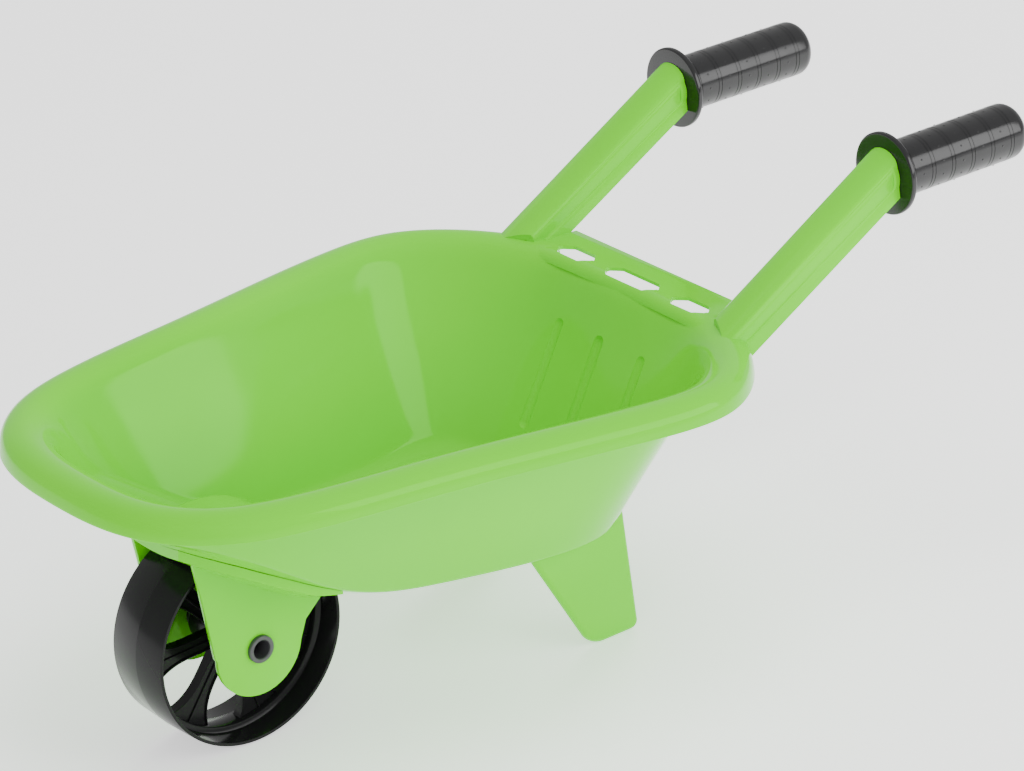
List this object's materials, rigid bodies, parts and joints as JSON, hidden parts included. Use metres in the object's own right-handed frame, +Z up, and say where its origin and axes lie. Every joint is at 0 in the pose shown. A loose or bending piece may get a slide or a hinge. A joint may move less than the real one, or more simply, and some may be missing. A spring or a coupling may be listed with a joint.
{
  "type": "child's wheelbarrow",
  "caption": "Child's moulded-plastic wheelbarrow: deep oval basin with rolled rim and slotted bridge, two handle arms with flanged grips, two legs and one spoked front wheel in a fork.",
  "frame": {"origin": "middle of the footprint on the ground: centre of the bounding box in X and Y, at the height of the tyre's and feet's lowest point", "axes": "+X to the left of the person pushing, +Y from the wheel towards the grips, +Z up; the wheelbarrow stands on its wheel and two feet"},
  "size_m": [0.3146, 0.6014, 0.2571],
  "materials": {
    "green_plastic": "high gloss moulded polypropylene, light yellow-green",
    "black_plastic": "semi-gloss moulded black",
    "dark_grey_plastic": "satin dark grey",
    "grip_plastic": "satin textured dark grey",
    "zinc_steel": "zinc-plated"
  },
  "bodies": {
    "root": {"basin": "green_plastic", "fork_bracket": "green_plastic", "leg_left": "green_plastic", "leg_right": "green_plastic", "fork_screws": "zinc_steel", "leg_screws": "zinc_steel", "axle_tube": "dark_grey_plastic", "axle_plug": "dark_grey_plastic", "spacer_left": "dark_grey_plastic", "spacer_right": "dark_grey_plastic", "grip_left": "grip_plastic", "grip_right": "grip_plastic"},
    "wheel": {"wheel": "black_plastic"}
  },
  "joints": [
    {"name": "wheel_spin", "type": "hinge", "parent": "root", "child": "wheel", "pos_m": [0, -0.19923, 0.06], "axis": [1, 0, 0], "continuous": true}
  ]
}
